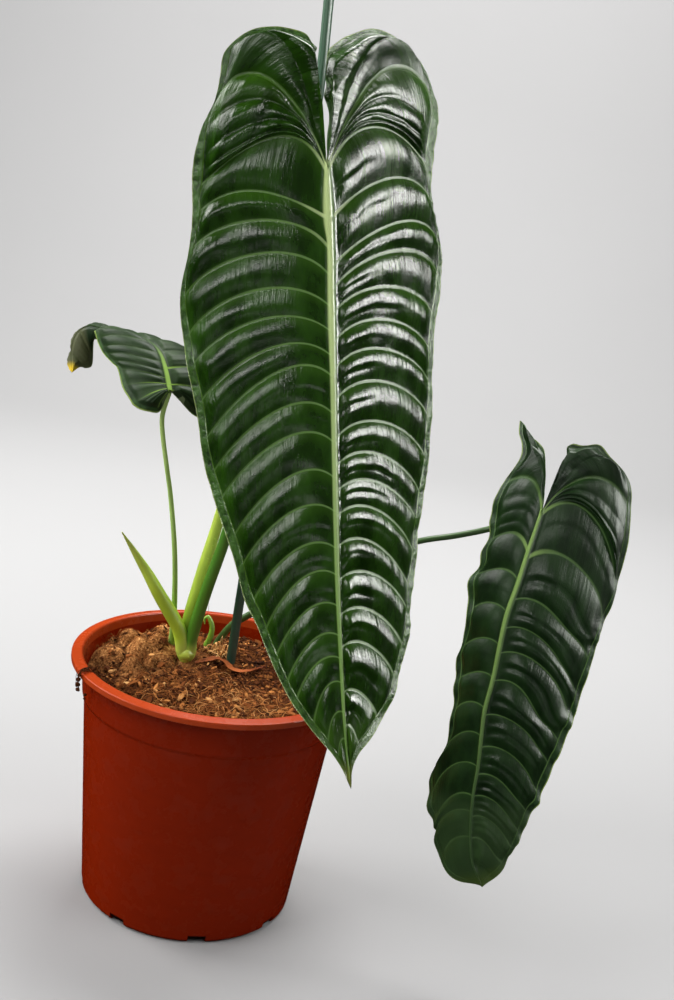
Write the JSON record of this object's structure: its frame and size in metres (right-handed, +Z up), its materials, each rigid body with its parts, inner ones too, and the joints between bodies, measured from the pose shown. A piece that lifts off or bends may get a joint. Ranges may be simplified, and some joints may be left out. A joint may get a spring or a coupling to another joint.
{
  "type": "potted king anthurium",
  "caption": "Potted aroid house plant with long quilted hanging leaves, young shoots and a support stake, standing in a round plastic nursery pot filled with bark mix.",
  "frame": {"origin": "centre of the flat underside of the pot, on the pot's axis", "axes": "+Z up along the pot's axis, -Y towards the viewer of the picture, +X to the viewer's right"},
  "size_m": [0.4671, 0.2678, 0.792],
  "materials": {
    "pot_plastic": "semi-gloss injection moulded polypropylene, terracotta red",
    "mix": "coarse bark and coir fibre, matt",
    "stake_coating": "dark blue-green plastic coating",
    "crown": "smooth fleshy plant tissue, pale yellow-green",
    "petiole_dark": "smooth plant stem, dark green",
    "petiole_light": "smooth plant stem, light green",
    "young_green": "smooth young plant tissue, yellow-green",
    "leaf_glossy": "glossy leathery leaf, dark green with light green veins",
    "leaf_dark": "satin leathery leaf, deep bluish green",
    "leaf_matte": "matt young leaf, grey-green with a yellow tip",
    "dried": "dry papery leaf sheath, reddish brown"
  },
  "bodies": {
    "root": {"pot": "pot_plastic", "potting_mix": "mix", "stake": "stake_coating", "crown": "crown", "petiole_large": "petiole_dark", "young_leaf": "young_green", "new_leaf_spike": "young_green", "petiole_left": "petiole_light", "petiole_right": "petiole_dark", "side_shoot": "petiole_light", "blade_large": "leaf_glossy", "blade_right": "leaf_dark", "blade_left": "leaf_matte", "dried_sheath": "dried"}
  },
  "joints": []
}
